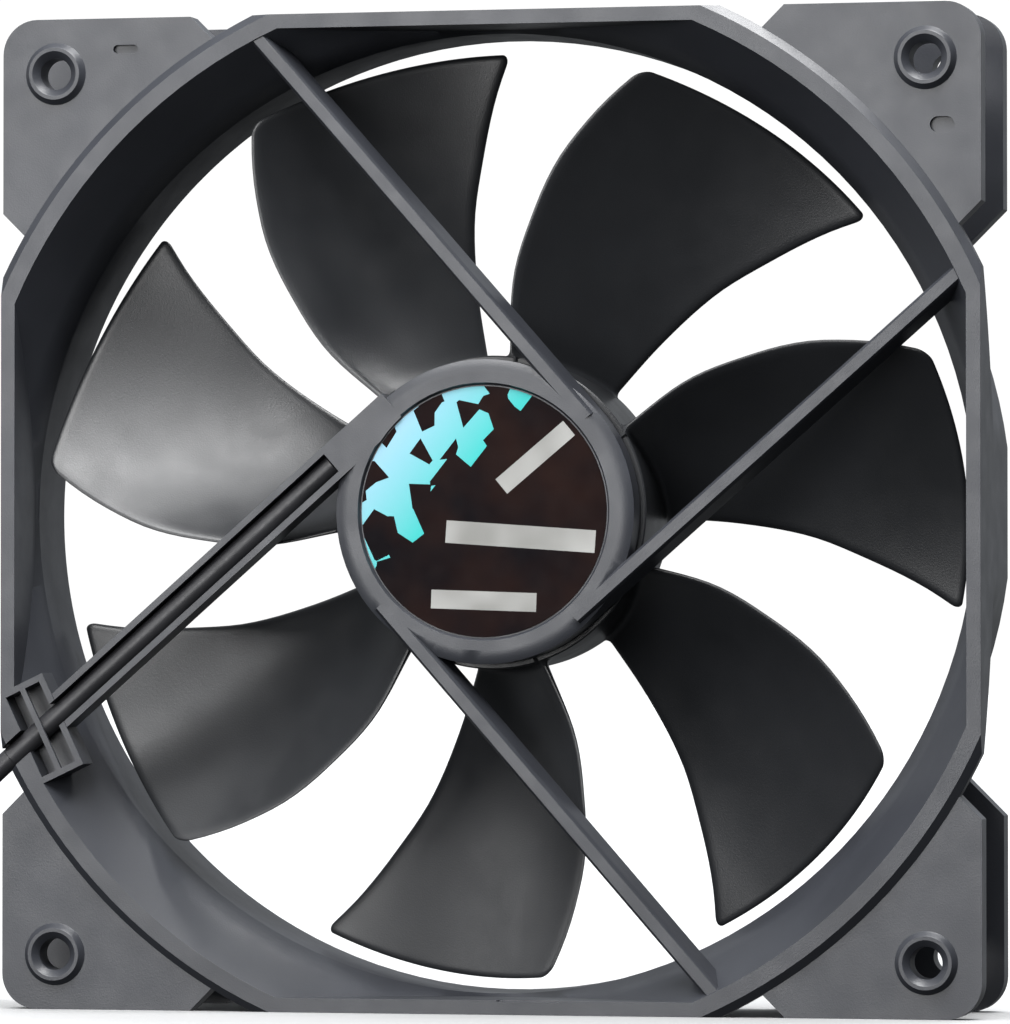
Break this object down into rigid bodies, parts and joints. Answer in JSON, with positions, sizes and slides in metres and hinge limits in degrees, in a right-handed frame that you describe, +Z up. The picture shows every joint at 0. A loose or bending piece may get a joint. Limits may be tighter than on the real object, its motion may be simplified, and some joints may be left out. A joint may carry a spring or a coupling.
{
  "type": "case fan",
  "caption": "Axial computer case fan with open corner flanges, sickle-shaped blades, tangential struts, a brushless motor on a sleeve bearing, and a sleeved lead with a connector.",
  "frame": {"origin": "on the rotor's axis, halfway through the frame's depth", "axes": "+Z up, Y along the rotor's axis; the exhaust side with the struts and the motor cup faces -Y and the intake side faces +Y"},
  "size_m": [0.188, 0.0368, 0.14],
  "materials": {
    "frame_plastic": "fine moulded texture, satin",
    "impeller_plastic": "fine moulded texture, satin",
    "label_film": "printed film, satin, with an abstract pattern",
    "insulator_plastic": "moulded, natural",
    "core_steel": "stacked laminations",
    "yoke_steel": "pressed and zinc plated",
    "magnet_ferrite": "bonded ferrite, matte",
    "winding_copper": "enamelled copper wire",
    "brass": "turned",
    "sintered_bronze": "sintered, oiled",
    "shaft_steel": "ground and hardened",
    "washer_nylon": "moulded",
    "board_laminate": "solder mask",
    "chip_epoxy": "moulded, matte",
    "component_ceramic": "fired",
    "solder": "bright",
    "wire_black": "extruded, satin",
    "lead_sleeve": "extruded sleeve, satin",
    "shrink_black": "heat-shrunk, satin",
    "tie_plastic": "moulded, satin",
    "connector_plastic": "moulded, satin",
    "terminal_tin": "tin plated"
  },
  "bodies": {
    "stator": {"frame": "frame_plastic", "base_label": "label_film", "bearing_tube": "brass", "thrust_pad": "washer_nylon", "oil_ring": "washer_nylon", "sleeve_bearing": "sintered_bronze", "stator_core": "core_steel", "insulator_exhaust": "insulator_plastic", "insulator_intake": "insulator_plastic", "coil_1": "winding_copper", "coil_2": "winding_copper", "coil_3": "winding_copper", "coil_4": "winding_copper", "coil_pins": "terminal_tin", "circuit_board": "board_laminate", "driver_chip": "chip_epoxy", "board_capacitors": "component_ceramic", "board_resistors": "chip_epoxy", "inner_wires": "wire_black", "solder_joints": "solder", "lead_in_strut": "lead_sleeve", "lead_free": "lead_sleeve", "lead_coil": "lead_sleeve", "lead_tail": "lead_sleeve", "coil_tie": "tie_plastic", "lead_shrink": "shrink_black", "lead_tails": "wire_black", "connector_housing": "connector_plastic", "connector_terminals": "terminal_tin"},
    "rotor": {"impeller": "impeller_plastic", "rotor_yoke": "yoke_steel", "magnet_ring": "magnet_ferrite", "shaft_insert": "brass", "shaft": "shaft_steel", "split_washer": "washer_nylon", "wear_washer": "washer_nylon"}
  },
  "joints": [
    {"name": "rotor_spin", "type": "hinge", "parent": "stator", "child": "rotor", "pos_m": [0, 0, 0], "axis": [0, 1, 0], "continuous": true}
  ]
}
